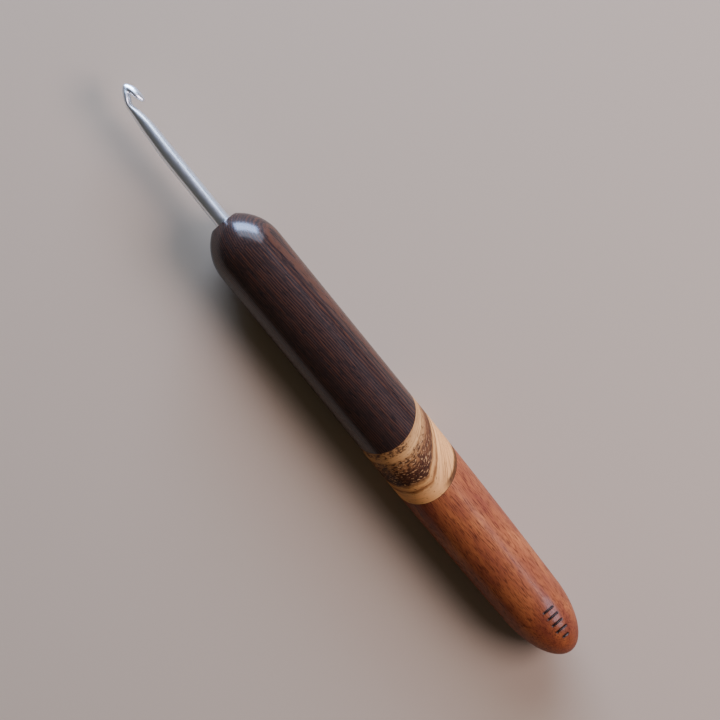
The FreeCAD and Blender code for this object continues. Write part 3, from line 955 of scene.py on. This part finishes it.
@dataclass
class ForgedHook:
    """The hook: a rod forged into a slim neck and a head that turns back over the throat.

    Its rings fan round the bottom of the throat, so that the head, the lip and the throat are one
    smooth skin.
    """

    seat: Seat
    shank_radius: float = 2.25
    tang_behind: float = 50.0
    tang_chamfer: float = 0.6
    forged_from: float = 18.0
    rod_from: float = -48.0
    rod_step: float = 3.0
    steps: int = 7
    points: int = 72
    sharp_degrees: float = 40.0
    rings: tuple[Ring, ...] = (
        Ring(18.0, 2.25, 18.0, -2.25, 2.25),
        Ring(21.0, 2.25, 21.0, -2.24, 2.25),
        Ring(24.5, 2.25, 24.5, -2.17, 2.24),
        Ring(27.5, 2.25, 27.5, -2.00, 2.20),
        Ring(30.5, 2.24, 30.5, -1.81, 2.13),
        Ring(33.0, 2.19, 33.1, -1.63, 2.05),
        Ring(35.2, 2.00, 35.5, -1.40, 1.97),
        Ring(37.2, 1.74, 37.7, -1.15, 1.93, -0.1),
        Ring(38.9, 1.36, 39.6, -0.95, 1.95, -0.2),
        Ring(39.9, 1.10, 40.9, -0.77, 1.99, -0.3),
        Ring(40.55, 1.15, 41.8, -0.54, 2.03, -0.35),
        Ring(41.15, 1.41, 42.6, -0.24, 2.05, -0.35),
        Ring(41.75, 1.70, 43.4, 0.13, 2.03, -0.3),
        Ring(42.3, 1.94, 44.3, 0.62, 1.94, -0.2),
        Ring(42.66, 2.07, 45.1, 1.11, 1.80, -0.05),
        Ring(42.82, 2.15, 45.75, 1.62, 1.66, 0.1),
        Ring(42.86, 2.21, 46.17, 2.22, 1.60, 0.2),
        Ring(42.82, 2.27, 46.22, 2.80, 1.62, 0.3),
        Ring(42.7, 2.32, 45.85, 3.34, 1.72, 0.36),
        Ring(42.45, 2.38, 45.1, 3.90, 1.86, 0.4),
        Ring(42.05, 2.46, 44.1, 4.38, 1.96, 0.42),
        Ring(41.5, 2.58, 42.95, 4.70, 1.93, 0.44),
        Ring(40.9, 2.76, 41.8, 4.80, 1.76, 0.44),
        Ring(40.35, 2.97, 40.8, 4.74, 1.48, 0.42),
        Ring(39.8, 3.20, 39.95, 4.61, 1.14, 0.38),
        Ring(39.4, 3.42, 39.45, 4.48, 0.84, 0.3),
        Ring(39.13, 3.66, 39.15, 4.30, 0.48, 0.2),
    )
    lip_end: tuple[float, float] = (39.03, 3.98)

    def smooth_rings(self) -> np.ndarray:
        """Run a smooth curve through each measure of the rings.

        Returns:
            One row a ring: throat ahead and rise, back ahead and rise, cheek, crest.
        """
        keys = np.array([astuple(ring) for ring in self.rings])
        padded = np.vstack([2 * keys[0] - keys[1], keys, 2 * keys[-1] - keys[-2]])
        found = []
        for span in range(len(keys) - 1):
            before, start, end, after = padded[span:span + 4]
            for step in range(self.steps):
                part = step / self.steps
                found.append(0.5 * (2 * start + (end - before) * part
                                    + (2 * before - 5 * start + 4 * end - after) * part ** 2
                                    + (3 * start - before - 3 * end + after) * part ** 3))
        found.append(keys[-1])
        return np.array(found)

    def plain_rings(self) -> np.ndarray:
        """Rings of the straight rod, from the tang's chamfered end to the forged part."""
        full, end = self.shank_radius, -self.tang_behind
        rod = np.arange(self.rod_from, self.forged_from - 1, self.rod_step)
        stops = [(end, full - self.tang_chamfer), (end + self.tang_chamfer, full)]
        stops += [(ahead, full) for ahead in rod]
        return np.array([(ahead, radius, ahead, -radius, radius, 0.0) for ahead, radius in stops])

    def build(self, material: bpy.types.Material) -> bpy.types.Object:
        """Skin the rings and close both ends.

        Args:
            material: the metal's finish.

        Returns:
            The finished piece.
        """
        rings = np.vstack([self.plain_rings(), self.smooth_rings()])
        turns = np.linspace(0, math.tau, self.points, endpoint=False)
        throat, back, cheeks, crests = rings[:, 0:2], rings[:, 2:4], rings[:, 4:5], rings[:, 5:6]
        middle, half = (throat + back) / 2, (throat - back) / 2
        reach = np.cos(turns) + crests * np.sin(turns) ** 2
        plane = middle[:, None, :] + half[:, None, :] * reach[..., None]
        cheek = cheeks * np.sin(turns)
        skin = np.stack([plane[..., 0], -plane[..., 1], cheek], axis=-1).reshape(-1, 3)
        ends = np.array([[-self.tang_behind, 0.0, 0.0], [self.lip_end[0], -self.lip_end[1], 0.0]])
        points = np.vstack([skin, ends]) * MM + (self.seat.front_face, 0.0, self.seat.axis_height)

        count, last = self.points, len(rings) - 1
        faces = []
        for index in range(count):
            after = (index + 1) % count
            faces.append((len(skin), after, index))
            for first in range(0, last * count, count):
                second = first + count
                faces.append((first + index, first + after, second + after, second + index))
            faces.append((last * count + index, last * count + after, len(skin) + 1))
        mesh = bpy.data.meshes.new("forged_hook")
        mesh.from_pydata(points.tolist(), [], faces)
        mesh.polygons.foreach_set("use_smooth", [True] * len(mesh.polygons))
        mesh.set_sharp_from_angle(angle=math.radians(self.sharp_degrees))
        mesh.materials.append(material)
        return stand(bpy.data.objects.new("hook_piece", mesh))


# -------- studio --------


@dataclass(frozen=True)
class SoftBox:
    """A rectangular soft light that faces the tool.

    Its heading counts from the tip's side towards the lip's side, and its sizes are millimetres.
    """

    name: str
    heading: float
    elevation: float
    width: float
    height: float
    watts: float
    colour: str
    distance: float = 1000.0

    def hang(self) -> None:
        """Add the light to the scene."""
        light = bpy.data.lights.new(self.name, "AREA")
        light.shape, light.size, light.size_y = "RECTANGLE", self.width * MM, self.height * MM
        light.energy, light.color = self.watts, linear(self.colour)[:3]
        heading, elevation = math.radians(-self.heading), math.radians(self.elevation)
        level = math.cos(elevation)
        way = Vector((level * math.cos(heading), level * math.sin(heading), math.sin(elevation)))
        holder = stand(bpy.data.objects.new(self.name, light))
        holder.location = way * self.distance * MM
        holder.rotation_euler = (-way).to_track_quat("-Z", "Y").to_euler()


@dataclass
class Studio:
    """A pale floor, soft window light from the lip's side and a camera above the tool."""

    seat: Seat
    heading: float = -129.1
    middle: tuple[float, float] = (-0.65, -5.14)
    view_width: float = 195.7
    lens: float = 250.0
    sensor: float = 36.0
    floor_size: float = 4000.0
    floor_colour: str = "#af9c83"
    floor_roughness: float = 0.8
    sky_colour: str = "#fff4e6"
    sky_strength: float = 0.085
    lights: tuple[SoftBox, ...] = (
        SoftBox("window_light", 47.0, 28.0, 1080.0, 600.0, 12.0, "#d8e5ff"),
        SoftBox("tip_fill", 38.0, 12.5, 860.0, 420.0, 38.0, "#aecaff"),
        SoftBox("tail_fill", 131.0, 42.0, 620.0, 440.0, 11.5, "#f3e2f4"),
    )

    def lay_floor(self) -> None:
        """Lay the pale floor that the tool rests on."""
        half = self.floor_size / 2 * MM
        mesh = bpy.data.meshes.new("floor")
        edge = [(-half, -half, 0), (half, -half, 0), (half, half, 0), (-half, half, 0)]
        mesh.from_pydata(edge, [], [(0, 1, 2, 3)])
        floor = stand(bpy.data.objects.new("floor", mesh))
        material = bpy.data.materials.new("pale_floor")
        material.use_nodes = True
        shader = material.node_tree.nodes["Principled BSDF"]
        shader.inputs["Base Color"].default_value = linear(self.floor_colour)
        shader.inputs["Roughness"].default_value = self.floor_roughness
        mesh.materials.append(material)

    def set_sky(self) -> None:
        """Give the room an even, dim, warm light."""
        world = bpy.data.worlds.new("studio")
        world.use_nodes = True
        shader = world.node_tree.nodes["Background"]
        shader.inputs["Color"].default_value = linear(self.sky_colour)
        shader.inputs["Strength"].default_value = self.sky_strength
        bpy.context.scene.world = world

    def set_camera(self) -> None:
        """Stand the camera straight above the tool, with the hook to the upper left."""
        camera = bpy.data.cameras.new("camera")
        camera.lens, camera.sensor_width = self.lens, self.sensor
        camera.clip_start, camera.clip_end = 0.01, 10.0
        holder = stand(bpy.data.objects.new("camera", camera))
        distance = self.view_width * self.lens / self.sensor
        across, along = self.middle
        holder.location = (across * MM, along * MM, self.seat.axis_height + distance * MM)
        holder.rotation_euler = (0.0, 0.0, math.radians(self.heading))
        bpy.context.scene.camera = holder

    def build(self) -> None:
        """Set up everything that isn't the tool."""
        self.lay_floor()
        for light in self.lights:
            light.hang()
        self.set_sky()
        self.set_camera()


# -------- main --------


def main() -> None:
    """Build the pieces around the CAD frame, in order, and report each."""
    logging.basicConfig(level=logging.INFO, format="%(name)s: %(message)s")
    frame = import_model()
    seat = Seat.from_frame()
    finishes = {
        Section.FRONT: Wenge(), Section.FRONT_GLUE: GlueLine(), Section.BAND: Zebrano(),
        Section.REAR_GLUE: GlueLine(name="cured_rear_glue"), Section.REAR: Jatoba()}

    lathe, handle = Lathe(), TurnedHandle(seat)
    for section, finish in finishes.items():
        piece = handle.build(lathe, section, finish.build(seat))
        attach(piece, "root")
        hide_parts(section.value)
        LOG.info("%s: %d faces", piece.name, len(piece.data.polygons))

    metal = Aluminium()
    hook = ForgedHook(seat).build(metal.build(seat))
    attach(hook, "root")
    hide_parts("hook")
    LOG.info("%s: %d faces", hook.name, len(hook.data.polygons))

    # The tang's epoxy keeps its CAD mesh; its dark finish is partly painted shade where the shank
    # enters the handle.
    resin = frame["nodes"]["tang_glue"]
    resin.data.materials.clear()
    resin.data.materials.append(EpoxyWithPaintedShade().build(seat))
    LOG.info("tang_glue: kept from the frame")

    Studio(seat).build()


if __name__ == "__main__":
    main()
